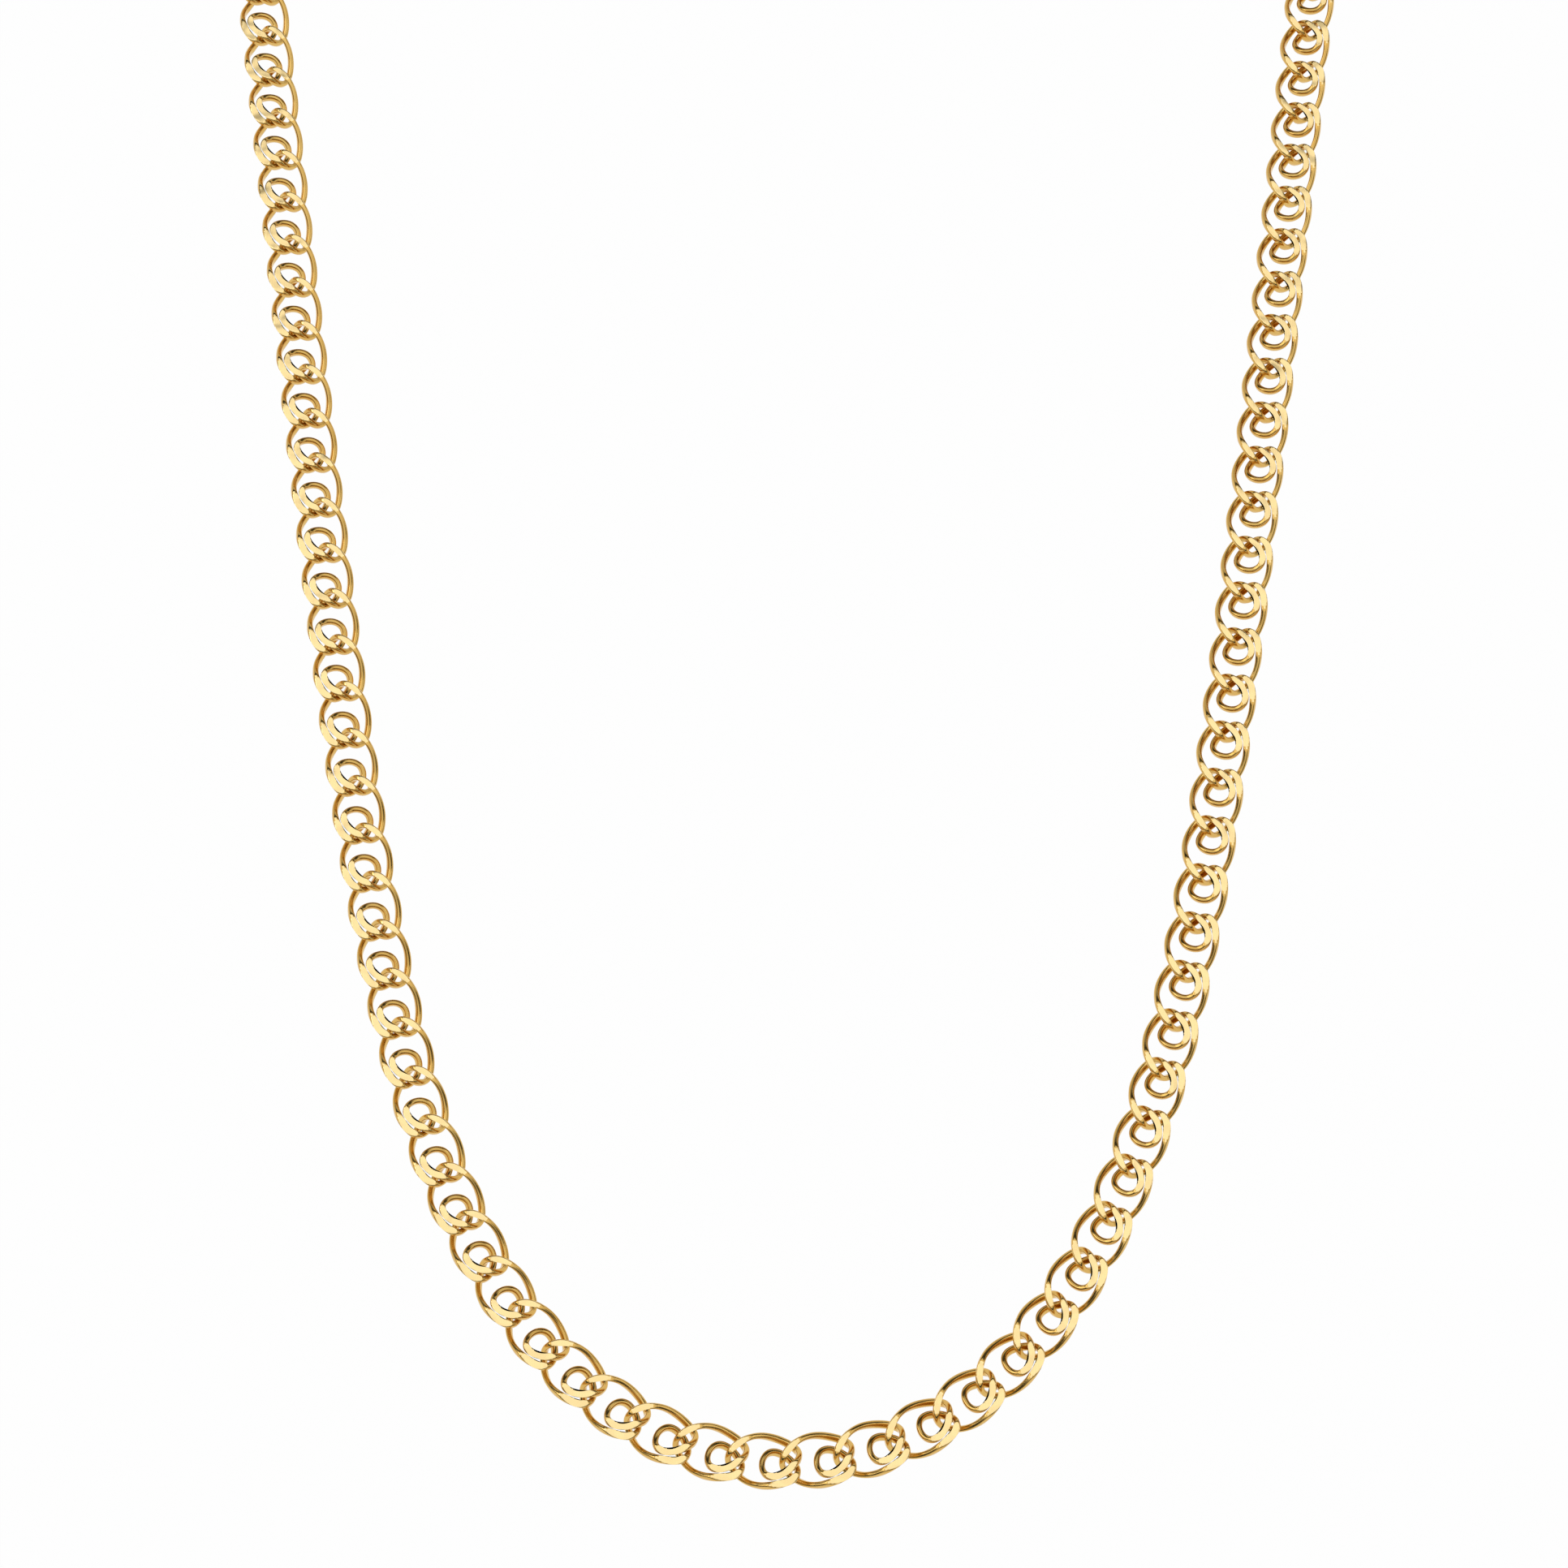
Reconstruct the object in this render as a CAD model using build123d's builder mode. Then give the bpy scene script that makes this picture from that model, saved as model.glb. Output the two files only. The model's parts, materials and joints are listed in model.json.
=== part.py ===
from build123d import *
import os
from math import atan2, cos, degrees, pi, radians, sin, sqrt, tanh

# A double-loop curb chain necklace, laid flat in a U and unfastened.
# Millimetres. +X is to the right strand, +Y runs from the front of the U to its two ends,
# +Z is up. The origin is in the middle of the necklace, on the surface that it lies on.

# ---- the wire of one link ----
WIRE_THICK = 0.55       # across the wire, in the plane of its loop
WIRE_HIGH = 0.74        # along the wire's height, square to the loop
LOOP_LENGTH = 6.15      # large loop, end to end between wire centres
RING_LENGTH = 3.1       # small nested ring, end to end between wire centres
LOOP_HALF_WIDTH = 2.15  # large loop, axis to wire centre
RING_HALF_WIDTH = 1.4   # small ring, axis to wire centre
RING_OFFSET = 0.35      # how far the small ring lies towards the low side
COIL_GAP = 0.03         # between the two turns where they cross
END_FULLNESS = 0.5      # how blunt the single end of the large loop is
TWIST = 95.0            # degrees of twist from the link's tail to its nose
TWIST_LEAD = 0.5        # how much more of the twist lies near the tail
PLANED_THICK = 1.9      # over the planed faces
WIRE_STATIONS = 18      # straight pieces in one link's wire

# ---- the chain ----
LINK_PLAY = 0.25        # slack where one link's tail sits in the next link's nose
LINKS_PER_STRAND = 44   # each side of the front link
SINGLE_LINKS = 8        # links on each side of the front link that have a node each
LINKS_PER_SECTION = 2   # neighbouring links kept in one node after those
STRAND_LEAN = 81.7      # degrees: heading that the strands reach
FRONT_SPREAD = 7.68     # links over which the front of the U turns
FRONT_SHIFT = 0.44      # the foremost point, in links right of the front link's middle
STRAIGHT_LINKS = 35     # links before the strands start to curl in
END_CURL = 3.5          # degrees more on every link after that

# ---- rings at the ends ----
END_RING_RADIUS = 2.2   # to the wire's centre
END_RING_WIRE = 0.7
END_RING_TILT = 18.0    # degrees, as it leans on the last link
END_RING_REACH = 0.6    # how far its wire sits inside the last link's nose
JUMP_RING_RADIUS = 1.7
JUMP_RING_WIRE = 0.6
JUMP_RING_TILT = 49.0
JUMP_RING_REACH = 0.5
RING_STATIONS = 16
RING_SIDES = 8

# ---- lobster clasp ----
CLASP_THICK = 2.8
CLASP_LENGTH = 10.6     # claw, without its eye
CLASP_WIDTH = 6.4
CLASP_END_RADIUS = 2.2  # the claw's rounded ends, seen from above
CLASP_EDGE = 0.6        # rounding of the claw's edges
TAIL_WALL = 2.9         # solid metal between neck and opening
TIP_WALL = 1.3
SIDE_WALL = 1.45
OPENING_END_RADIUS = 1.3
GAP_START = 0.3         # the gap under the gate, from the claw's long axis
EYE_RADIUS = 1.8
EYE_HOLE = 1.1          # radius
EYE_THICK = 0.8
EYE_CENTRE_TO_CLAW = 2.0
EYE_BITE = 0.05         # eye's centre, short of the jump ring's far wire
NECK_WIDTH = 2.0
PIN_RADIUS = 0.35
PIN_RUNNING_GAP = 0.05
PIN_FROM_TAIL = 2.4     # pin's centre, from the tail end of the claw
PIN_FROM_SIDE = 1.85    # and from the claw's widest line
TRIGGER_THICK = 0.9
TRIGGER_ROOT = 1.15     # radius round the pin
TRIGGER_REACH = 5.8     # pin to tip
TRIGGER_HEEL = 0.6      # arm's lower edge below the pin
GATE_GAP = 0.1
SLOT_GAP = 0.05         # each side of the trigger
EAR_LENGTH = 1.1        # how far the ears reach past the pin
LUG_FROM_PIN = 2.3
LUG_RADIUS = 0.85
SPRING_THICK = 0.15
SPRING_WIDTH = 0.8
SPRING_GAP = 0.1        # root to spring
SPRING_SEAT = 0.02      # spring to the wall of its pocket
SPRING_START = 160.0    # degrees round the pin
SPRING_SPAN = 100.0
POCKET_SPARE = 5.0      # degrees past each end of the spring

NEST = 2 * WIRE_THICK + LINK_PLAY
PITCH = LOOP_LENGTH - NEST
CHAIN_MID = PLANED_THICK / 2
EYE_DISTANCE = 2 * JUMP_RING_RADIUS - JUMP_RING_REACH - EYE_BITE

os.makedirs("parts", exist_ok=True)


# ---- one link: a wire carried twice round, once wide and once narrow ----
SWING = (LOOP_LENGTH + RING_LENGTH) / 2
BASE = (LOOP_LENGTH - RING_LENGTH) / 2
COIL_LIFT = (WIRE_HIGH + COIL_GAP) / 2 / sqrt(1 - (BASE / SWING) ** 2)
LOOP_WIDEST = 0.26 * pi  # turn angle where the large loop is widest
RING_WIDEST = 0.80 * pi  # turn angle where the small ring is widest


def reach(turn):
    """Distance of the wire's centre from the nose: positive on the large loop, negative on the ring."""
    return BASE + SWING * cos(turn)


def inner_share(turn):
    """0 at the tail of the large loop, 1 at the far side of the small ring."""
    return (1 - cos(turn)) / 2


def fullness(turn):
    """Extra width that makes the tail blunt."""
    return 1 + END_FULLNESS * max(cos(turn), 0) ** 3


def width_factors():
    """The two width factors that give the loop and the ring their half widths."""
    a1 = fullness(LOOP_WIDEST) * (1 - inner_share(LOOP_WIDEST))
    b1 = inner_share(LOOP_WIDEST)
    c1 = LOOP_HALF_WIDTH / (reach(LOOP_WIDEST) * sin(LOOP_WIDEST))
    a2 = 1 - inner_share(RING_WIDEST)
    b2 = inner_share(RING_WIDEST)
    c2 = -RING_HALF_WIDTH / (reach(RING_WIDEST) * sin(RING_WIDEST))
    det = a1 * b2 - a2 * b1
    return (c1 * b2 - c2 * b1) / det, (a1 * c2 - a2 * c1) / det


LOOP_FACTOR, RING_FACTOR = width_factors()


def wire_centre(turn):
    """Centre of the wire and the direction of its height, with the tail's contact at the origin."""
    share = inner_share(turn)
    along = LOOP_LENGTH - reach(turn) * cos(turn)
    factor = LOOP_FACTOR * fullness(turn) * (1 - share) + RING_FACTOR * share
    across = factor * reach(turn) * sin(turn) - RING_OFFSET * share
    lift = COIL_LIFT * sin(turn)
    way = min(max(along / LOOP_LENGTH, 0), 1)
    roll = radians(TWIST) * (0.5 - way - TWIST_LEAD * way * (1 - way))
    centre = Vector(
        along - NEST / 2,
        across * cos(roll) - lift * sin(roll),
        across * sin(roll) + lift * cos(roll),
    )
    return centre, Vector(0, -sin(roll), cos(roll))


def planed(point):
    """A point of the wire, cut back to the planed faces."""
    return Vector(point.X, point.Y, min(max(point.Z, -CHAIN_MID), CHAIN_MID))


def link_corners(number):
    """The four corners of the wire at one station."""
    step = 2 * pi / WIRE_STATIONS
    centre, up = wire_centre(number * step)
    ahead = wire_centre((number + 1) * step)[0] - wire_centre((number - 1) * step)[0]
    side = ahead.cross(up).normalized()
    rise = side.cross(ahead).normalized()
    corners = []
    for across, high in ((1, 1), (-1, 1), (-1, -1), (1, -1)):
        corner = centre + side * (across * WIRE_THICK / 2) + rise * (high * WIRE_HIGH / 2)
        corners.append(planed(corner))
    return corners


def ring_corners(number, radius, wire):
    """The corners of a round ring's wire at one station."""
    turn = 2 * pi * number / RING_STATIONS
    corners = []
    for side in range(RING_SIDES):
        angle = 2 * pi * (side + 0.5) / RING_SIDES
        out = radius + wire / 2 * cos(angle)
        corners.append(Vector(out * cos(turn), out * sin(turn), wire / 2 * sin(angle)))
    return corners


def closed_wire(stations):
    """A solid skinned with flat triangles over a closed row of stations."""
    faces = []
    for here, there in zip(stations, stations[1:] + stations[:1]):
        for k in range(len(here)):
            n = (k + 1) % len(here)
            faces.append(Face(Wire.make_polygon([here[k], there[k], there[n]])))
            faces.append(Face(Wire.make_polygon([here[k], there[n], here[n]])))
    return Solid(Shell(faces))


# ---- where each link lies ----
def heading(number):
    """Direction of a link in degrees; number 0 is the front link, right positive."""
    side = 1 if number >= 0 else -1
    curl = END_CURL * max(0, abs(number) - STRAIGHT_LINKS)
    return STRAND_LEAN * tanh((number - FRONT_SHIFT) / FRONT_SPREAD) + side * curl


def forward(number):
    """Unit vector along a link, tail to nose."""
    angle = radians(heading(number))
    return Vector(cos(angle), sin(angle), 0)


first = -LINKS_PER_STRAND
last = LINKS_PER_STRAND
CLASP_END = EYE_DISTANCE + EYE_CENTRE_TO_CLAW + CLASP_LENGTH  # from the first link's tail
strand_length = sum(forward(number).Y for number in range(first, 0)) * -PITCH
front = (strand_length - forward(first).Y * CLASP_END - LOOP_HALF_WIDTH) / -2

tails = {0: Vector(-PITCH * (0.5 + FRONT_SHIFT), front, CHAIN_MID)}
for number in range(1, last + 2):
    tails[number] = tails[number - 1] + forward(number - 1) * PITCH
for number in range(-1, first - 1, -1):
    tails[number] = tails[number + 1] - forward(number) * PITCH


def link_place(number):
    """Location of a link: its tail's contact point, turned to its heading."""
    return Location(tails[number], (0, 0, heading(number)))


with BuildPart() as link:
    add(closed_wire([link_corners(number) for number in range(WIRE_STATIONS)]))


def chain_section(name, numbers):
    """One node of neighbouring links, each its own solid."""
    with BuildPart() as section:
        with Locations(*[link_place(number) for number in numbers]):
            add(link.part)
    section.part.label = name
    export_step(section.part, f"parts/{name}.step")


chain_section("front_link", [0])
groups = [[number] for number in range(1, SINGLE_LINKS + 1)]
for nearest in range(SINGLE_LINKS + 1, LINKS_PER_STRAND, LINKS_PER_SECTION):
    groups.append(range(nearest, nearest + LINKS_PER_SECTION))
for index, numbers in enumerate(groups, start=1):
    chain_section(f"right_links_{index:02d}", numbers)
    chain_section(f"left_links_{index:02d}", [-number for number in numbers])


# ---- end ring on the right strand's last nose ----
last_nose = tails[last + 1]
end_rest = END_RING_RADIUS * sin(radians(END_RING_TILT)) + END_RING_WIRE / 2
end_centre = last_nose + forward(last) * (END_RING_RADIUS - END_RING_REACH)
end_place = Location((end_centre.X, end_centre.Y, end_rest), (0, 0, heading(last)))

with BuildPart() as end_ring:
    with Locations(end_place * Rotation(END_RING_TILT, 0, 0)):
        add(closed_wire([
            ring_corners(number, END_RING_RADIUS, END_RING_WIRE) for number in range(RING_STATIONS)
        ]))
end_ring.part.label = "end_ring"
export_step(end_ring.part, "parts/end_ring.step")


# ---- jump ring on the left strand's first tail ----
jump_rest = JUMP_RING_RADIUS * sin(radians(JUMP_RING_TILT)) + JUMP_RING_WIRE / 2
jump_centre = tails[first] - forward(first) * (JUMP_RING_RADIUS - JUMP_RING_REACH)
jump_place = Location((jump_centre.X, jump_centre.Y, jump_rest), (0, 0, heading(first)))

with BuildPart() as jump_ring:
    with Locations(jump_place * Rotation(-JUMP_RING_TILT, 0, 0)):
        add(closed_wire([
            ring_corners(number, JUMP_RING_RADIUS, JUMP_RING_WIRE) for number in range(RING_STATIONS)
        ]))
jump_ring.part.label = "jump_ring"
export_step(jump_ring.part, "parts/jump_ring.step")


# ---- clasp, in a plane through its middle: x runs from its eye to its tip ----
outward = forward(first) * -1
eye_centre = tails[first] + outward * EYE_DISTANCE
claw_plane = Plane(
    origin=(eye_centre.X, eye_centre.Y, CLASP_THICK / 2),
    x_dir=outward,
    z_dir=(0, 0, 1),
)

CLAW_MID = EYE_CENTRE_TO_CLAW + CLASP_LENGTH / 2
OPENING_LENGTH = CLASP_LENGTH - TAIL_WALL - TIP_WALL
OPENING_MID = EYE_CENTRE_TO_CLAW + TAIL_WALL + OPENING_LENGTH / 2
OPENING_WIDTH = CLASP_WIDTH - 2 * SIDE_WALL
PIN_X = EYE_CENTRE_TO_CLAW + PIN_FROM_TAIL
PIN_Y = CLASP_WIDTH / 2 - PIN_FROM_SIDE
SLOT_HALF = TRIGGER_THICK / 2 + SLOT_GAP
POCKET_RADIUS = TRIGGER_ROOT + SPRING_GAP + SPRING_THICK + SPRING_SEAT
TIP_X = PIN_X + TRIGGER_REACH + GATE_GAP
ABOVE = CLASP_WIDTH


def oval(middle, length, width, end_radius, mode=Mode.ADD):
    """A flattened round along x: two end arcs that run smoothly into two side arcs."""
    ends = length / 2 - end_radius
    side_radius = (ends**2 + (width / 2) ** 2 - end_radius**2) / (width - 2 * end_radius)
    drop = side_radius - width / 2
    meet = degrees(atan2(drop, ends))
    with BuildLine() as outline:
        CenterArc((middle + ends, 0), end_radius, -meet, 2 * meet)
        CenterArc((middle, -drop), side_radius, meet, 180 - 2 * meet)
        CenterArc((middle - ends, 0), end_radius, 180 - meet, 2 * meet)
        CenterArc((middle, drop), side_radius, 180 + meet, 180 - 2 * meet)
    make_face(outline.edges(), mode=mode)


def corner_box(low, high):
    """A rectangle in the claw's plane, given by two corners."""
    with Locations(((low[0] + high[0]) / 2, (low[1] + high[1]) / 2)):
        Rectangle(high[0] - low[0], high[1] - low[1])


with BuildPart() as clasp_body:
    with BuildSketch(claw_plane.offset(-CLASP_THICK / 2)):
        oval(CLAW_MID, CLASP_LENGTH, CLASP_WIDTH, CLASP_END_RADIUS)
    extrude(amount=CLASP_THICK)
    chamfer(clasp_body.faces().filter_by(Axis.Z).edges(), CLASP_EDGE)
    with BuildSketch(claw_plane.offset(-EYE_THICK / 2)):
        Circle(EYE_RADIUS)
        corner_box((0, -NECK_WIDTH / 2), (EYE_CENTRE_TO_CLAW + TAIL_WALL / 2, NECK_WIDTH / 2))
    extrude(amount=EYE_THICK)
    with BuildSketch(claw_plane.offset(-EYE_THICK)):
        Circle(EYE_HOLE)
    extrude(amount=2 * EYE_THICK, mode=Mode.SUBTRACT)
    # the claw's opening, and the gap that the gate closes
    with BuildSketch(claw_plane.offset(-CLASP_THICK)):
        oval(OPENING_MID, OPENING_LENGTH, OPENING_WIDTH, OPENING_END_RADIUS)
    extrude(amount=2 * CLASP_THICK, mode=Mode.SUBTRACT)
    with BuildSketch(claw_plane.offset(-CLASP_THICK)):
        with Locations((PIN_X, PIN_Y)):
            Circle(TRIGGER_REACH + GATE_GAP)
        with BuildSketch(mode=Mode.INTERSECT):
            corner_box((PIN_X + EAR_LENGTH, GAP_START), (TIP_X, ABOVE))
    extrude(amount=2 * CLASP_THICK, mode=Mode.SUBTRACT)
    # the slot between the ears, with the spring's pocket behind the trigger's root
    with BuildSketch(claw_plane.offset(-SLOT_HALF)):
        with Locations((PIN_X, PIN_Y)):
            Circle(TRIGGER_ROOT + SPRING_GAP)
        corner_box((PIN_X, 0), (PIN_X + EAR_LENGTH + GATE_GAP, ABOVE))
        with BuildLine():
            wall = CenterArc(
                (PIN_X, PIN_Y),
                POCKET_RADIUS,
                SPRING_START - POCKET_SPARE,
                SPRING_SPAN + 2 * POCKET_SPARE,
            )
            Line((PIN_X, PIN_Y), wall @ 0)
            Line((PIN_X, PIN_Y), wall @ 1)
        make_face()
    extrude(amount=2 * SLOT_HALF, mode=Mode.SUBTRACT)
    with BuildSketch(claw_plane.offset(-CLASP_THICK)):
        with Locations((PIN_X, PIN_Y)):
            Circle(PIN_RADIUS)
    extrude(amount=2 * CLASP_THICK, mode=Mode.SUBTRACT)
clasp_body.part.label = "clasp_body"
export_step(clasp_body.part, "parts/clasp_body.step")

with BuildPart() as clasp_trigger:
    with BuildSketch(claw_plane.offset(-TRIGGER_THICK / 2)):
        oval(CLAW_MID, CLASP_LENGTH, CLASP_WIDTH, CLASP_END_RADIUS)
        with Locations((PIN_X + LUG_FROM_PIN, CLASP_WIDTH / 2)):
            Circle(LUG_RADIUS)
        oval(OPENING_MID, OPENING_LENGTH, OPENING_WIDTH, OPENING_END_RADIUS, Mode.SUBTRACT)
        with BuildSketch(mode=Mode.INTERSECT):
            corner_box((PIN_X, PIN_Y - TRIGGER_HEEL), (TIP_X, ABOVE))
        with BuildSketch(mode=Mode.INTERSECT):
            with Locations((PIN_X, PIN_Y)):
                Circle(TRIGGER_REACH)
        with Locations((PIN_X, PIN_Y)):
            Circle(TRIGGER_ROOT)
            Circle(PIN_RADIUS + PIN_RUNNING_GAP, mode=Mode.SUBTRACT)
    extrude(amount=TRIGGER_THICK)
clasp_trigger.part.label = "clasp_trigger"
export_step(clasp_trigger.part, "parts/clasp_trigger.step")

with BuildPart() as clasp_pin:
    with BuildSketch(claw_plane.offset(-CLASP_THICK / 2)):
        with Locations((PIN_X, PIN_Y)):
            Circle(PIN_RADIUS)
    extrude(amount=CLASP_THICK)
clasp_pin.part.label = "clasp_pin"
export_step(clasp_pin.part, "parts/clasp_pin.step")

with BuildPart() as clasp_spring:
    with BuildSketch(claw_plane.offset(-SPRING_WIDTH / 2)):
        with BuildLine():
            inner = CenterArc(
                (PIN_X, PIN_Y), TRIGGER_ROOT + SPRING_GAP, SPRING_START, SPRING_SPAN
            )
            outer = CenterArc(
                (PIN_X, PIN_Y), POCKET_RADIUS - SPRING_SEAT, SPRING_START, SPRING_SPAN
            )
            Line(inner @ 0, outer @ 0)
            Line(inner @ 1, outer @ 1)
        make_face()
    extrude(amount=SPRING_WIDTH)
clasp_spring.part.label = "clasp_spring"
export_step(clasp_spring.part, "parts/clasp_spring.step")


print(f"pitch {PITCH:.2f} mm, {2 * LINKS_PER_STRAND + 1} links, front link at y = {front:.6f} mm")
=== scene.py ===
# %% [markdown]
# # A double-loop curb chain in yellow gold
# The necklace is a machine-made chain. Every link is one wire, wound twice: once into a wide
# oval loop and once into a small ring that lies inside the loop's leading end. The link is then
# twisted by about a quarter turn, so that the finished chain lies flat, and the high places
# are planed on both sides until each link has small bright mirrors. The two ends carry a
# lobster clasp and a plain ring.
#
# The solid model gives each link as 18 straight pieces of oblong wire. That is enough for
# handling and for motion, but not for a close look, so every link is made again here from
# the same winding formula, with soft corners on the wire and truly flat planed faces.

# %% Load the imported model, with a helper that reads a part's box
import json
from math import atan2, cos, pi, radians, sin, sqrt

import bmesh
import bpy
import numpy as np
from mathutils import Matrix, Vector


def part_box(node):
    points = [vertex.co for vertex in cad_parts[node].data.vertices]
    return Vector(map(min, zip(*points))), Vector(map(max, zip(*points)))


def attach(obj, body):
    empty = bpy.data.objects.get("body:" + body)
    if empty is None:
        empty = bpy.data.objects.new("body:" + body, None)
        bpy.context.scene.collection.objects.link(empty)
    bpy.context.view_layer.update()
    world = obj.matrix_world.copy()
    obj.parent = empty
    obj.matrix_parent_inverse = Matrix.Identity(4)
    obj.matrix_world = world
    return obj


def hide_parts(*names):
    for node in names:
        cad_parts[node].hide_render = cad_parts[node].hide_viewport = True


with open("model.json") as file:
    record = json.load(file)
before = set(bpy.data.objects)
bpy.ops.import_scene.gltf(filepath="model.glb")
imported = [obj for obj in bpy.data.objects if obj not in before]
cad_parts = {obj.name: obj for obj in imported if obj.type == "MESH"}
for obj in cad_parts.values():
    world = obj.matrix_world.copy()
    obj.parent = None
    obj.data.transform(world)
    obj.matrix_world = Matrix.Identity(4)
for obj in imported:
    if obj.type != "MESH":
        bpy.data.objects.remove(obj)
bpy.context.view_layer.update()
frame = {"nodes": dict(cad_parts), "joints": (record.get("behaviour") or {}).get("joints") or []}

MM = 0.001

# %% [markdown]
# ## The winding
# One number, the turn, runs once round the whole closed wire. The wire's distance from the
# link's nose goes as base + swing x cosine of the turn. While that is positive the wire is on
# the wide loop, and while it is negative it is on the small ring, which is how one closed
# curve gives two loops nested at one end, as in a curve that geometers call a limacon.
# Drawing it as a formula rather than by hand keeps every bend smooth, and the same numbers
# make the solid model, so the two agree.

# %% Sizes of the link, in millimetres
WIRE_THICK = 0.55
WIRE_HIGH = 0.74
LOOP_LENGTH = 6.15
RING_LENGTH = 3.1
LOOP_HALF_WIDTH = 2.15
RING_HALF_WIDTH = 1.4
RING_OFFSET = 0.35  # the ring lies this far to one side of the link's middle
COIL_GAP = 0.03  # between the two turns where they cross
END_FULLNESS = 0.5  # no unit: how much the loop's tail is filled out
TWIST = 95.0  # degrees, from one end to the other
TWIST_LEAD = 0.5  # no unit: how far the twist runs ahead of an even one
PLANED_THICK = 1.9
LINK_PLAY = 0.25  # room that a link has to slide in its neighbour

NEST = 2 * WIRE_THICK + LINK_PLAY  # overlap of two hooked links
PITCH = LOOP_LENGTH - NEST
CHAIN_MID = PLANED_THICK / 2
SWING = (LOOP_LENGTH + RING_LENGTH) / 2
BASE = (LOOP_LENGTH - RING_LENGTH) / 2
# Where the turns cross, the cosine is -base / swing, and they lie one wire and a gap apart.
COIL_LIFT = (WIRE_HIGH + COIL_GAP) / 2 / sqrt(1 - (BASE / SWING) ** 2)
print(f"pitch {PITCH:.2f} mm, wire {WIRE_THICK} x {WIRE_HIGH} mm")

# %% Centre line of the wire
LOOP_WIDEST = 0.26 * pi  # turn at which the loop is widest
RING_WIDEST = 0.80 * pi  # and the ring


def shares(turn):
    """How much of the ring's width applies: (1 - cosine of the turn) / 2; and the tail's
    fullness, 1 + fullness x positive cosine cubed."""
    inner = (1 - np.cos(turn)) / 2
    full = 1 + END_FULLNESS * np.maximum(np.cos(turn), 0) ** 3
    return inner, full


def width_factors():
    """Two factors, solved so that the loop and the ring are as wide as they should be."""
    turn = np.array([LOOP_WIDEST, RING_WIDEST])
    inner, full = shares(turn)
    reach = BASE + SWING * np.cos(turn)
    wanted = np.array([LOOP_HALF_WIDTH, -RING_HALF_WIDTH]) / (reach * np.sin(turn))
    return np.linalg.solve(np.stack([full * (1 - inner), inner], axis=1), wanted)


def wire_line(turn):
    """Centre of the wire and its upward direction. Along: length - reach x cosine. Across:
    factor x reach x sine. Lift: lift x sine, which parts the two turns where they cross.
    Then across and lift are rolled about the link's axis by the twist, which runs ahead by
    lead x way x (1 - way)."""
    inner, full = shares(turn)
    reach = BASE + SWING * np.cos(turn)
    along = LOOP_LENGTH - reach * np.cos(turn)
    loop_factor, ring_factor = width_factors()
    factor = loop_factor * full * (1 - inner) + ring_factor * inner
    across = factor * reach * np.sin(turn) - RING_OFFSET * inner
    lift = COIL_LIFT * np.sin(turn)
    way = np.clip(along / LOOP_LENGTH, 0, 1)
    roll = np.radians(TWIST) * (0.5 - way - TWIST_LEAD * way * (1 - way))
    centre = np.stack(
        [
            along - NEST / 2,
            across * np.cos(roll) - lift * np.sin(roll),
            across * np.sin(roll) + lift * np.cos(roll),
        ],
        axis=1,
    )
    up = np.stack([np.zeros_like(roll), -np.sin(roll), np.cos(roll)], axis=1)
    return centre, up


print("width factors", np.round(width_factors(), 3))

# %% [markdown]
# ## The wire's section, and the planing
# Drawn wire of this kind is nearly square with soft corners. A superellipse gives that: the
# powers of cosine and sine are raised to less than one, which pushes a circle out into its
# corners. The section is carried along the winding, upright in the link's own twisted frame.
# Planing cuts that shape off at two heights. Points near a cut slide along their edges to
# it, so that its border runs smoothly. Faces that end up wholly on a planed face are marked
# and get the cutter's finish, whose paler colour is a painted highlight; the change of
# material keeps the border of each little mirror crisp.

# %% One link as a surface
STATIONS = 132  # along the wire
AROUND = 20  # round the section
SQUARENESS = 3.0  # 2 is an ellipse, more is squarer


def wire_section():
    """Offsets across and up: half size x sign x |cosine or sine| ^ (2 / squareness)."""
    angle = 2 * pi * (np.arange(AROUND) + 0.5) / AROUND
    power = 2 / SQUARENESS
    across = WIRE_THICK / 2 * np.sign(np.cos(angle)) * np.abs(np.cos(angle)) ** power
    high = WIRE_HIGH / 2 * np.sign(np.sin(angle)) * np.abs(np.sin(angle)) ** power
    return across, high


def unit(vectors):
    """Each row divided by its length."""
    return vectors / np.linalg.norm(vectors, axis=1, keepdims=True)


def planed(points, level):
    """Cuts a grid of points at a height. Where two neighbours round the section lie on either
    side of the level, the nearer of them slides along their edge to it; then what is left
    above the level is pressed down to it."""
    z = points[..., 2]
    over = z > level
    crosses = over != np.roll(over, -1, axis=1)
    rise = np.roll(z, -1, axis=1) - z
    share = np.where(crosses, (level - z) / np.where(crosses, rise, 1), 0)[..., None]
    edge = np.roll(points, -1, axis=1) - points
    here = crosses[..., None] & (share < 0.5)
    there = crosses[..., None] & (share >= 0.5)
    slid = np.where(here, points + share * edge, points)
    moved = np.roll(there, 1, axis=1)
    slid = np.where(moved, np.roll(points + share * edge, 1, axis=1), slid)
    slid[..., 2] = np.minimum(slid[..., 2], level)
    return slid


def link_surface():
    """Points of one link: centre + across x side + high x rise, then planed on both sides."""
    turn = 2 * pi * np.arange(STATIONS) / STATIONS
    centre, up = wire_line(turn)
    ahead = unit(np.roll(centre, -1, axis=0) - np.roll(centre, 1, axis=0))
    side = unit(np.cross(ahead, up))
    rise = np.cross(side, ahead)
    across, high = wire_section()
    points = (
        centre[:, None]
        + across[None, :, None] * side[:, None]
        + high[None, :, None] * rise[:, None]
    )
    top_down = np.array([1.0, 1.0, -1.0])
    points = planed(planed(points, CHAIN_MID) * top_down, CHAIN_MID) * top_down
    return points.reshape(-1, 3)


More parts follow.
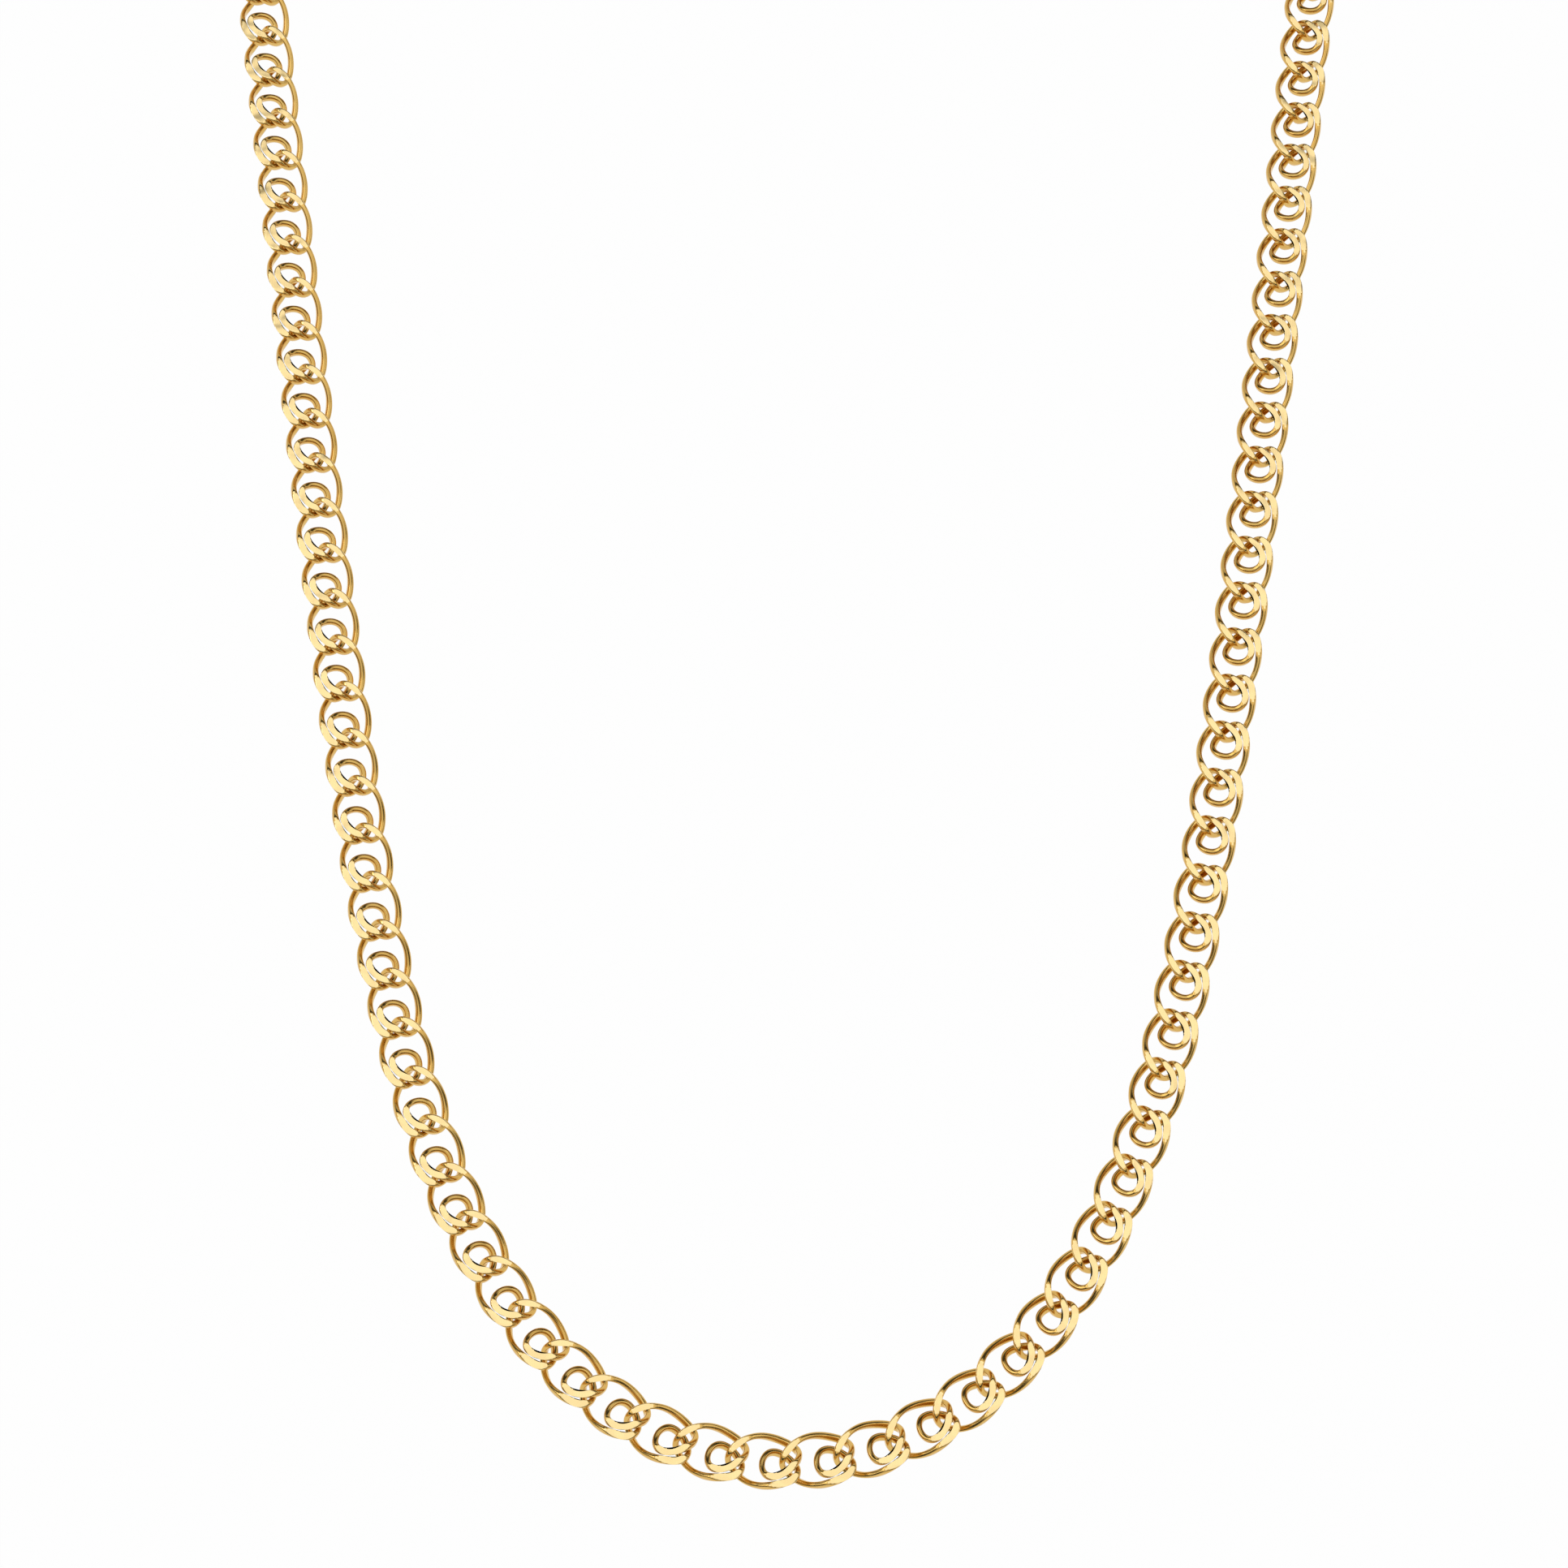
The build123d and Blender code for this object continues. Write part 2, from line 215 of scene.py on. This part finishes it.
def tube_faces(stations, around):
    """Four-sided faces of a tube closed along and around: station i joins station i + 1."""
    i, k = np.meshgrid(np.arange(stations), np.arange(around), indexing="ij")
    j, n = (i + 1) % stations, (k + 1) % around
    corners = [i * around + k, i * around + n, j * around + n, j * around + k]
    return np.stack(corners, axis=-1).reshape(-1, 4)


LINK_POINTS = link_surface()
LINK_FACES = tube_faces(STATIONS, AROUND)
print(len(LINK_FACES), "faces in one link, height", np.ptp(LINK_POINTS[:, 2]), "mm")

# %% [markdown]
# ## Outward faces
# A surface made from a formula can come out inside out, and then the metal is shaded from
# within. The signed volume tells: it is positive when the faces point outwards, and if it
# isn't, every face has its corners put in the other order.

# %% Turn the faces outward


def volume(points, faces):
    """Signed volume: one sixth of the sum of triple products over the fan of each face."""
    a, b, c, d = (points[faces[:, n]] for n in range(4))
    return (np.cross(b, c) * a).sum() / 6 + (np.cross(c, d) * a).sum() / 6


if volume(LINK_POINTS, LINK_FACES) < 0:
    LINK_FACES = LINK_FACES[:, ::-1]
print(f"one link holds {volume(LINK_POINTS, LINK_FACES):.2f} cubic mm of metal")

# %% [markdown]
# ## Laying out the chain
# The links lie on one line. Each link's heading follows a hyperbolic tangent of its number,
# which is what a chain does when it is laid in a U: it turns fast at the front and then runs
# nearly straight. The joint between the front link and the first one on its left gives the
# place of link 0's tail, and every other link is one pitch further along the heading.

# %% Where each link lies
LINKS_PER_STRAND = 44
SINGLE_LINKS = 8  # on each side, from the front
LINKS_PER_SECTION = 2  # after those
STRAND_LEAN = 81.7  # degrees that each strand turns away from the front
FRONT_SPREAD = 7.68  # in links: larger is a rounder front
FRONT_SHIFT = 0.44  # in links: the front isn't quite in the middle
STRAIGHT_LINKS = 35  # the links past these curl in
END_CURL = 3.5  # degrees for each link past the straight ones


def heading(number):
    """Direction in radians: lean x tanh((number - shift) / spread), with a curl past the
    straight."""
    curl = END_CURL * np.sign(number) * np.maximum(0, np.abs(number) - STRAIGHT_LINKS)
    return np.radians(STRAND_LEAN * np.tanh((number - FRONT_SHIFT) / FRONT_SPREAD) + curl)


def tail_places():
    """Tail of each link: running sum of pitch x heading, shifted to link 0's tail."""
    numbers = np.arange(-LINKS_PER_STRAND, LINKS_PER_STRAND + 1)
    steps = PITCH * np.stack([np.cos(heading(numbers)), np.sin(heading(numbers))], axis=1)
    places = np.concatenate([np.zeros((1, 2)), np.cumsum(steps, axis=0)])
    first_joint = next(j for j in frame["joints"] if j["child"] == "left_links_01")
    places += np.array(first_joint["pos_m"][:2]) / MM - places[LINKS_PER_STRAND]
    return dict(zip(range(-LINKS_PER_STRAND, LINKS_PER_STRAND + 2), places))


TAILS = tail_places()
print("front link's tail at", np.round(TAILS[0], 3), "mm")


def laid_link(number):
    """The link's points turned by its heading and moved to its tail, in millimetres."""
    turn = heading(np.float64(number))
    x, y, z = LINK_POINTS.T
    place = TAILS[number]
    return np.stack(
        [
            place[0] + x * cos(turn) - y * sin(turn),
            place[1] + x * sin(turn) + y * cos(turn),
            z + CHAIN_MID,
        ],
        axis=1,
    )


# %% [markdown]
# ## Gold
# The chain is yellow gold of 14 carats. Gold is a bare metal, so it has no paint and no
# film: its colour is only in what it reflects, which is why metallic is 1 and the IOR stays at
# its default. Tumbling with steel shot leaves the rounded wire bright but very slightly
# orange-peeled. The planed faces are cut by a diamond tool, which leaves a truer mirror with
# faint parallel cutter lines. So there are two finishes of the one metal, and the planed one
# is also given a paler colour, which is a painted highlight.

# %% Colour helper and node helper
MIX_A, MIX_B, MIX_RESULT = 6, 7, 2  # colour sockets of a Mix node, whose names aren't unique


def linear(hex_colour):
    """sRGB hex to linear: below 0.04045 divide by 12.92, above it a power of 2.4."""
    srgb = np.array([int(hex_colour[n : n + 2], 16) for n in (1, 3, 5)]) / 255
    low, high = srgb / 12.92, ((srgb + 0.055) / 1.055) ** 2.4
    return (*np.where(srgb <= 0.04045, low, high).tolist(), 1.0)


def add_node(material, kind, settings=None, links=None):
    """Adds one node, gives its inputs and properties their values, and links its inputs. An
    input goes by its name, or by its number where two have the same name."""
    tree = material.node_tree
    node = tree.nodes.new(kind)
    for name, value in (settings or {}).items():
        if isinstance(name, int) or name in node.inputs:
            node.inputs[name].default_value = value
        else:
            setattr(node, name, value)
    for name, socket in (links or {}).items():
        tree.links.new(socket, node.inputs[name])
    return node


def bare_material(name):
    """A material whose node tree is still empty."""
    material = bpy.data.materials.new(name)
    material.use_nodes = True
    material.node_tree.nodes.clear()
    return material


print("linear middle grey is", round(linear("#808080")[0], 3))

# %% Tumbled gold, for the rounded wire
GOLD_DEEP = "#D6A754"
GOLD_PALE = "#E0BC70"
TINT_SIZE = 6.0 * MM  # slow change of tone along the chain
TUMBLED_ROUGHNESS = (0.10, 0.22)
PEEL_SIZE = 0.35 * MM  # orange peel left by the shot
PEEL_DEPTH = 0.02 * MM
PEEL_STRENGTH = 0.12


def tumbled_gold():
    """Metallic, with roughness and a shallow bump from noise at the size of the peel, and a
    colour that goes from deep to pale with a much larger noise."""
    gold = bare_material("tumbled_yellow_gold")
    place = add_node(gold, "ShaderNodeTexCoord").outputs["Object"]
    peel = add_node(
        gold, "ShaderNodeTexNoise", {"Scale": 1 / PEEL_SIZE, "Detail": 2.0}, {"Vector": place}
    )
    tint = add_node(
        gold, "ShaderNodeTexNoise", {"Scale": 1 / TINT_SIZE, "Detail": 1.0}, {"Vector": place}
    )
    colour = add_node(
        gold,
        "ShaderNodeMix",
        {"data_type": "RGBA", MIX_A: linear(GOLD_DEEP), MIX_B: linear(GOLD_PALE)},
        {"Factor": tint.outputs["Fac"]},
    )
    rough = add_node(
        gold,
        "ShaderNodeMapRange",
        {"To Min": TUMBLED_ROUGHNESS[0], "To Max": TUMBLED_ROUGHNESS[1]},
        {"Value": peel.outputs["Fac"]},
    )
    bump = add_node(
        gold,
        "ShaderNodeBump",
        {"Strength": PEEL_STRENGTH, "Distance": PEEL_DEPTH},
        {"Height": peel.outputs["Fac"]},
    )
    skin = add_node(
        gold,
        "ShaderNodeBsdfPrincipled",
        {"Metallic": 1.0},
        {
            "Base Color": colour.outputs[MIX_RESULT],
            "Roughness": rough.outputs["Result"],
            "Normal": bump.outputs["Normal"],
        },
    )
    add_node(gold, "ShaderNodeOutputMaterial", {}, {"Surface": skin.outputs["BSDF"]})
    return gold


TUMBLED_GOLD = tumbled_gold()
print(TUMBLED_GOLD.name)

# %% Planed gold, for the flat mirrors
CUT_GOLD_PAINTED_HIGHLIGHT = "#F6DA9C"  # a paler gold than the tumbled skin: a painted highlight on the planed faces
PLANED_ROUGHNESS = (0.14, 0.22)
CUT_SPACING = 0.12 * MM  # cutter lines are finer on the real chain; these can be seen
CUT_DEPTH = 0.01 * MM
CUT_STRENGTH = 0.02
CUT_WANDER = 1.5  # the lines aren't quite straight
SWELL_SIZE = 1.4 * MM  # the tool rides up and down a little as the links give under it
SWELL_DEPTH = 0.22 * MM


def planed_gold_and_painted_highlight():
    """Metallic, with faint parallel lines from a wave that runs across the cutter's way, on
    top of a slow swell from noise. Its base colour is paler than the tumbled gold, which is a
    painted highlight."""
    gold = bare_material("diamond_cut_gold_and_painted_highlight")
    place = add_node(gold, "ShaderNodeTexCoord").outputs["Object"]
    lines = add_node(
        gold,
        "ShaderNodeTexWave",
        {"Scale": 1 / (CUT_SPACING * 2 * pi), "Distortion": CUT_WANDER, "Detail": 1.0},
        {"Vector": place},
    )
    rough = add_node(
        gold,
        "ShaderNodeMapRange",
        {"To Min": PLANED_ROUGHNESS[0], "To Max": PLANED_ROUGHNESS[1]},
        {"Value": lines.outputs["Fac"]},
    )
    swell = add_node(
        gold, "ShaderNodeTexNoise", {"Scale": 1 / SWELL_SIZE, "Detail": 0.0}, {"Vector": place}
    )
    wavy = add_node(
        gold,
        "ShaderNodeBump",
        {"Strength": 1.0, "Distance": SWELL_DEPTH},
        {"Height": swell.outputs["Fac"]},
    )
    bump = add_node(
        gold,
        "ShaderNodeBump",
        {"Strength": CUT_STRENGTH, "Distance": CUT_DEPTH},
        {"Height": lines.outputs["Fac"], "Normal": wavy.outputs["Normal"]},
    )
    skin = add_node(
        gold,
        "ShaderNodeBsdfPrincipled",
        # the paler base colour is a painted highlight
        {"Metallic": 1.0, "Base Color": linear(CUT_GOLD_PAINTED_HIGHLIGHT)},
        {"Roughness": rough.outputs["Result"], "Normal": bump.outputs["Normal"]},
    )
    add_node(gold, "ShaderNodeOutputMaterial", {}, {"Surface": skin.outputs["BSDF"]})
    return gold


PLANED_GOLD_AND_PAINTED_HIGHLIGHT = planed_gold_and_painted_highlight()
print(PLANED_GOLD_AND_PAINTED_HIGHLIGHT.name)

# %% [markdown]
# ## From points to pieces
# A helper turns arrays into a mesh, smooth-shades it, and lets it ride on its body in place
# of the plain solid. Near the front each link is a piece by itself. Further on, the two links
# of one section stay two closed shells in one piece, because they move together. A chain node
# and its body have one name.

# %% Make the chain
ON_FACE = 1e-6  # in mm: a point this near to a planed face lies on it


def new_piece(node, ending, points, faces, materials):
    """Builds a mesh from millimetre points, and puts it in the place of its CAD node."""
    name = f"{node}_{ending}"
    mesh = bpy.data.meshes.new(name)
    mesh.from_pydata((points * MM).tolist(), [], faces.tolist())
    for material in materials:
        mesh.materials.append(material)
    mesh.polygons.foreach_set("use_smooth", np.ones(len(faces), dtype=bool))
    piece = bpy.data.objects.new(name, mesh)
    bpy.context.scene.collection.objects.link(piece)
    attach(piece, node)
    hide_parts(node)
    return piece


def mark_planed(piece, points, faces):
    """Faces whose corners all lie on a planed face get the second material, the cutter's
    finish, whose paler colour is a painted highlight."""
    height = np.abs(points[:, 2] - CHAIN_MID)
    cut = (height[faces] > CHAIN_MID - ON_FACE).all(axis=1)
    piece.data.polygons.foreach_set("material_index", cut.astype(np.int32))
    piece.data.update()


def chain_piece(node, numbers):
    """The links with these numbers, made one piece in the place of their CAD node. Returns
    the largest difference between the corners of the two boxes."""
    points = np.concatenate([laid_link(number) for number in numbers])
    starts = [n * len(LINK_POINTS) for n in range(len(numbers))]
    faces = np.concatenate([LINK_FACES + start for start in starts])
    piece = new_piece(node, "wound", points, faces, (TUMBLED_GOLD, PLANED_GOLD_AND_PAINTED_HIGHLIGHT))
    mark_planed(piece, points, faces)
    low, high = (np.array(corner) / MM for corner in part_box(node))
    return max(np.abs(points.min(0) - low).max(), np.abs(points.max(0) - high).max())


worst = chain_piece("front_link", [0])
groups = [[number] for number in range(1, SINGLE_LINKS + 1)]
for nearest in range(SINGLE_LINKS + 1, LINKS_PER_STRAND, LINKS_PER_SECTION):
    groups.append(range(nearest, nearest + LINKS_PER_SECTION))
for index, numbers in enumerate(groups, start=1):
    right = chain_piece(f"right_links_{index:02d}", numbers)
    left = chain_piece(f"left_links_{index:02d}", [-number for number in numbers])
    worst = max(worst, right, left)
print(f"links agree with the solid model's boxes to {worst:.3f} mm")

# %% [markdown]
# ## Rings
# The jump ring and the end ring are plain round wire, bent and soldered shut. A ring is a
# small circle carried round a large one. Each ring leans on the link that it hangs from, as
# far as in the solid model, and its middle is read from the box of its CAD node.

# %% Jump ring and end ring
RING_STATIONS = 72
RING_AROUND = 18
END_RING = {"radius": 2.2, "wire": 0.7, "tilt": 18.0}  # mm, mm, degrees
JUMP_RING = {"radius": 1.7, "wire": 0.6, "tilt": -49.0}


def ring_piece(node, direction, radius, wire, tilt):
    """Points: (radius + wire / 2 x cosine) round the axis, wire / 2 x sine up, tilted about
    the x axis and then turned in plan."""
    around = 2 * pi * np.arange(RING_STATIONS)[:, None] / RING_STATIONS
    profile = 2 * pi * np.arange(RING_AROUND)[None, :] / RING_AROUND
    out = radius + wire / 2 * np.cos(profile)
    x, y = out * np.cos(around), out * np.sin(around)
    z = wire / 2 * np.sin(profile) + 0 * around
    lean = radians(tilt)
    y, z = y * cos(lean) - z * sin(lean), y * sin(lean) + z * cos(lean)
    low, high = (np.array(corner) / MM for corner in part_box(node))
    middle = (low + high) / 2
    turned = [
        middle[0] + x * cos(direction) - y * sin(direction),
        middle[1] + x * sin(direction) + y * cos(direction),
        middle[2] + z,
    ]
    points = np.stack(turned, axis=-1).reshape(-1, 3)
    faces = tube_faces(RING_STATIONS, RING_AROUND)
    if volume(points, faces) < 0:
        faces = faces[:, ::-1]
    new_piece(node, "round", points, faces, (TUMBLED_GOLD,))
    print(node, "height", np.ptp(points[:, 2]).round(3), "mm, CAD", (high - low)[2].round(3))


ring_piece("end_ring", heading(LINKS_PER_STRAND), **END_RING)
ring_piece("jump_ring", heading(-LINKS_PER_STRAND), **JUMP_RING)

# %% [markdown]
# ## Clasp
# The claw is cast and polished by hand, so none of its edges is sharp. The solid model has
# its true outline. A copy of it gets merged corners and a fine rounding of every outward
# edge, which is what polishing does. Hardened normals keep the flat faces flat to the eye,
# so that only the rounded edges bend the reflections. The pin and the spring are as small
# and as plain as the solid model has them, so they keep its mesh.

# %% Clasp pieces
MERGE_DISTANCE = 0.002 * MM
FLAT_ANGLE = radians(0.5)  # faces that turn by less are one face
LEAST_ANGLE = radians(30)  # edges that turn by more are rounded
ROUNDING = 0.14 * MM
ROUNDING_STEPS = 4


def merged_mesh(node):
    """A mesh copied from a CAD node: doubles merged, flat faces joined, and every outward edge
    that is sharper than the least angle given the full bevel weight."""
    source = frame["nodes"][node]
    shape = bmesh.new()
    shape.from_mesh(source.data)
    shape.transform(source.matrix_world)
    bmesh.ops.remove_doubles(shape, verts=shape.verts, dist=MERGE_DISTANCE)
    bmesh.ops.dissolve_limit(
        shape, angle_limit=FLAT_ANGLE, verts=shape.verts, edges=shape.edges
    )
    weight = shape.edges.layers.float.new("bevel_weight_edge")
    for edge in shape.edges:
        edge[weight] = float(edge.is_convex and edge.calc_face_angle(0.0) > LEAST_ANGLE)
    mesh = bpy.data.meshes.new(f"{node}_polished")
    shape.to_mesh(mesh)
    shape.free()
    mesh.polygons.foreach_set("use_smooth", np.ones(len(mesh.polygons), dtype=bool))
    mesh.set_sharp_from_angle(angle=LEAST_ANGLE)
    mesh.materials.append(TUMBLED_GOLD)
    return mesh


def polished_copy(node, body):
    """A merged copy of a CAD node whose weighted edges are rounded by a bevel."""
    mesh = merged_mesh(node)
    piece = bpy.data.objects.new(mesh.name, mesh)
    bpy.context.scene.collection.objects.link(piece)
    soften = piece.modifiers.new("soften", "BEVEL")
    soften.width = ROUNDING
    soften.segments = ROUNDING_STEPS
    soften.limit_method = "WEIGHT"
    soften.use_clamp_overlap = False
    soften.harden_normals = True
    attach(piece, body)
    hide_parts(node)


def refinish(node, material):
    """Gives a CAD node that is carried over one material of its own."""
    finishes = frame["nodes"][node].data.materials
    finishes.clear()
    finishes.append(material)


polished_copy("clasp_body", "clasp")
polished_copy("clasp_trigger", "trigger")
refinish("clasp_pin", TUMBLED_GOLD)
print(f"clasp edges rounded over {ROUNDING / MM:.2f} mm")

# %% [markdown]
# ## Spring steel
# The leaf that closes the trigger is cold-rolled steel strip, the one piece that isn't gold.
# It is a bare metal too, greyer and duller, because the rolls leave fine scratches in it.

# %% Spring steel
STEEL_GREY = "#C9C6BE"
ROLLED_ROUGHNESS = (0.22, 0.38)
ROLL_LINES = 0.1 * MM


def spring_steel():
    """Metallic grey, with roughness from noise at the size of the rolls' scratches."""
    steel = bare_material("rolled_spring_steel")
    place = add_node(steel, "ShaderNodeTexCoord").outputs["Object"]
    lines = add_node(
        steel, "ShaderNodeTexNoise", {"Scale": 1 / ROLL_LINES, "Detail": 2.0}, {"Vector": place}
    )
    rough = add_node(
        steel,
        "ShaderNodeMapRange",
        {"To Min": ROLLED_ROUGHNESS[0], "To Max": ROLLED_ROUGHNESS[1]},
        {"Value": lines.outputs["Fac"]},
    )
    skin = add_node(
        steel,
        "ShaderNodeBsdfPrincipled",
        {"Metallic": 1.0, "Base Color": linear(STEEL_GREY)},
        {"Roughness": rough.outputs["Result"]},
    )
    add_node(steel, "ShaderNodeOutputMaterial", {}, {"Surface": skin.outputs["BSDF"]})
    return steel


SPRING_STEEL = spring_steel()
refinish("clasp_spring", SPRING_STEEL)
print(SPRING_STEEL.name)

# %% [markdown]
# ## The table
# A chain without a hard shadow is laid on clear glass that is held above a lit white board,
# so that what shadow there is falls soft and far below. Clean glass can't be seen, and only
# the board is made here. It lies so far down that the chain meets it at no joint's limit.

# %% Floor
FLOOR_SIZE = 40.0  # in metres, so that its edge is never seen
FLOOR_DROP = 80 * MM
FLOOR_GLOW = 0.97  # the rest is matt, and keeps the soft shadow
BOARD_WHITE = "#FAFAF9"
PURE_WHITE = "#FFFFFF"


def white_board():
    """Matt white, mixed with a glow of strength 1 for camera and glossy rays: the mix is the
    glow's share x the larger of the two rays' marks."""
    board = bare_material("white_board")
    matt = add_node(board, "ShaderNodeBsdfDiffuse", {"Color": linear(BOARD_WHITE)})
    glow = add_node(
        board, "ShaderNodeEmission", {"Color": linear(PURE_WHITE), "Strength": 1.0}
    )
    path = add_node(board, "ShaderNodeLightPath")
    seen = add_node(
        board,
        "ShaderNodeMath",
        {"operation": "MAXIMUM"},
        {0: path.outputs["Is Camera Ray"], 1: path.outputs["Is Glossy Ray"]},
    )
    share = add_node(
        board,
        "ShaderNodeMath",
        {"operation": "MULTIPLY", 1: FLOOR_GLOW},
        {0: seen.outputs["Value"]},
    )
    mix = add_node(
        board,
        "ShaderNodeMixShader",
        {},
        {0: share.outputs["Value"], 1: matt.outputs["BSDF"], 2: glow.outputs["Emission"]},
    )
    add_node(board, "ShaderNodeOutputMaterial", {}, {"Surface": mix.outputs["Shader"]})
    return board


floor_mesh = bpy.data.meshes.new("table")
half = FLOOR_SIZE / 2
corners = [(-half, -half), (half, -half), (half, half), (-half, half)]
floor_mesh.from_pydata([(x, y, -FLOOR_DROP) for x, y in corners], [], [(0, 1, 2, 3)])
floor_mesh.materials.append(white_board())
table = bpy.data.objects.new("table", floor_mesh)
bpy.context.scene.collection.objects.link(table)
print(f"the board lies {FLOOR_DROP / MM:.0f} mm below the chain")

# %% [markdown]
# ## Light
# Gold shows its surroundings, so the light is chosen as a jeweller would: a bright ceiling
# that the planed faces reflect towards the camera, a dark band half way down that draws
# brown lines in the curved wire, and a pale room at the horizon. Soft boxes behind and at
# both sides light the chain from above and give the wire its narrow highlights.

# %% World and soft boxes
ROOM = ((0.0, 0.6), (0.22, 0.75))  # each pair is the height of a ray and its brightness
DARK_BAND = ((0.36, 0.04), (0.62, 0.04))
CEILING = ((0.72, 0.6), (0.82, 0.95), (1.0, 1.12))


def studio_world():
    """Brightness by height: the z of the ray's direction goes through a colour ramp. The camera
    itself sees plain white."""
    world = bpy.data.worlds.new("studio")
    bpy.context.scene.world = world
    world.use_nodes = True
    world.node_tree.nodes.clear()
    place = add_node(world, "ShaderNodeTexCoord").outputs["Generated"]
    parts = add_node(world, "ShaderNodeSeparateXYZ", {}, {"Vector": place})
    ramp = add_node(world, "ShaderNodeValToRGB", {}, {"Fac": parts.outputs["Z"]})
    stops = ROOM + DARK_BAND + CEILING
    elements = ramp.color_ramp.elements
    while len(elements) < len(stops):
        elements.new(0.5)
    for element, (position, level) in zip(elements, stops):
        element.position = position
        element.color = (level, level, level, 1.0)
    path = add_node(world, "ShaderNodeLightPath")
    seen = add_node(
        world,
        "ShaderNodeMix",
        {"data_type": "RGBA", MIX_B: linear(PURE_WHITE)},
        {"Factor": path.outputs["Is Camera Ray"], MIX_A: ramp.outputs["Color"]},
    )
    back = add_node(
        world, "ShaderNodeBackground", {"Strength": 1.0}, {"Color": seen.outputs[MIX_RESULT]}
    )
    add_node(world, "ShaderNodeOutputWorld", {}, {"Surface": back.outputs["Background"]})


def soft_box(name, place, size, brightness):
    """An area lamp that faces the middle of the necklace, with place and size in metres. Its
    power is pi x area x brightness."""
    lamp = bpy.data.lights.new(name, "AREA")
    lamp.shape = "RECTANGLE"
    lamp.size, lamp.size_y = size
    lamp.energy = pi * size[0] * size[1] * brightness
    holder = bpy.data.objects.new(name, lamp)
    holder.location = place
    x, y, z = place
    holder.rotation_euler = (-atan2(y, sqrt(x * x + z * z)), atan2(x, z), 0)
    bpy.context.scene.collection.objects.link(holder)


studio_world()
soft_box("soft_box_behind", place=(0, 0.25, 0.7), size=(0.6, 0.5), brightness=0.12)
soft_box("soft_box_left", place=(-0.5, 0.1, 0.45), size=(0.3, 0.5), brightness=1.5)
soft_box("soft_box_right", place=(0.55, 0.0, 0.4), size=(0.25, 0.4), brightness=1.0)
print("three soft boxes under a bright ceiling")

# %% [markdown]
# ## Camera
# The camera looks down at the laid necklace from its front, 18 degrees off the plumb line,
# and from so close that the ends of the U look smaller than its front.

# %% Camera
CAMERA_LEAN = radians(18.0)
CAMERA_DISTANCE = 300 * MM
FIELD_OF_VIEW = radians(27.76)
LOOK_AT = (1.90, 62.88)  # from the front link's middle, in mm
SENSOR_WIDTH = 36.0  # in mm, a full frame
NEAREST_SEEN = 10 * MM

link_middle = (TAILS[0] + TAILS[1]) / 2
look_x = (link_middle[0] + LOOK_AT[0]) * MM
look_y = (link_middle[1] + LOOK_AT[1]) * MM
camera = bpy.data.objects.new("camera", bpy.data.cameras.new("camera"))
bpy.context.scene.collection.objects.link(camera)
camera.data.sensor_width = SENSOR_WIDTH
camera.data.angle = FIELD_OF_VIEW
camera.location = (
    look_x,
    look_y - CAMERA_DISTANCE * sin(CAMERA_LEAN),
    CHAIN_MID * MM + CAMERA_DISTANCE * cos(CAMERA_LEAN),
)
camera.rotation_euler = (CAMERA_LEAN, 0, 0)
camera.data.clip_start = NEAREST_SEEN
bpy.context.scene.camera = camera
bpy.context.scene.view_settings.view_transform = "Standard"
print("camera looks at", round(look_x, 4), round(look_y, 4))
